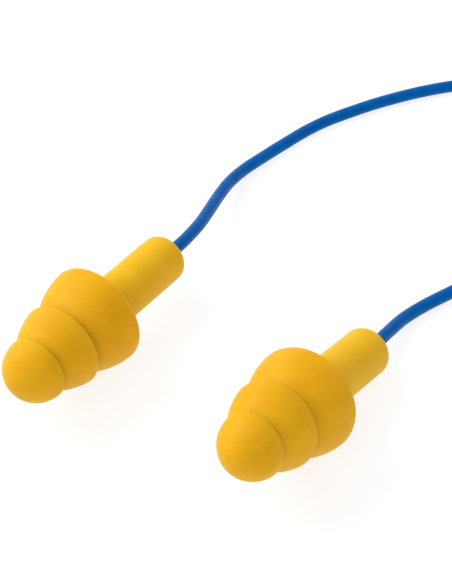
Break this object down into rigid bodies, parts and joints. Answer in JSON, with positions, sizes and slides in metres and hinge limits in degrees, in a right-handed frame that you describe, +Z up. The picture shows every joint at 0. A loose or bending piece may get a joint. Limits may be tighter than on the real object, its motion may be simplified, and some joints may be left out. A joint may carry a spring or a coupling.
{
  "type": "corded ear plugs",
  "caption": "Reusable flanged ear plugs of soft moulded rubber on short stems, joined by a long flexible cord whose spare length is coiled and tied.",
  "frame": {"origin": "on the table, under the middle of the box around both plugs", "axes": "+Z up from the table; both stems point towards +X +Y; the spare cord is coiled on the +X +Y side"},
  "size_m": [0.0911, 0.0799, 0.013],
  "materials": {
    "plug": "satin moulded elastomer",
    "cord": "satin extruded vinyl",
    "bond": "cured adhesive",
    "tie": "satin plastic ribbon"
  },
  "bodies": {
    "cord": {"left_cord_run": "cord", "right_cord_run": "cord", "cord_coil": "cord", "coil_tie": "tie"},
    "left_plug": {"left_plug": "plug", "left_cord_bond": "bond", "left_cord_end": "cord"},
    "right_plug": {"right_plug": "plug", "right_cord_bond": "bond", "right_cord_end": "cord"}
  },
  "joints": [
    {"name": "left_plug_swing", "type": "hinge", "parent": "cord", "child": "left_plug", "pos_m": [-0.00148, 0.02221, 0.00478], "axis": [0, 0, 1], "range_deg": [-60, 15], "deforming": ["left_cord_run"]},
    {"name": "right_plug_swing", "type": "hinge", "parent": "cord", "child": "right_plug", "pos_m": [0.02264, 0.0083, 0.00163], "axis": [0, 0, 1], "range_deg": [-15, 60], "deforming": ["right_cord_run"]}
  ]
}
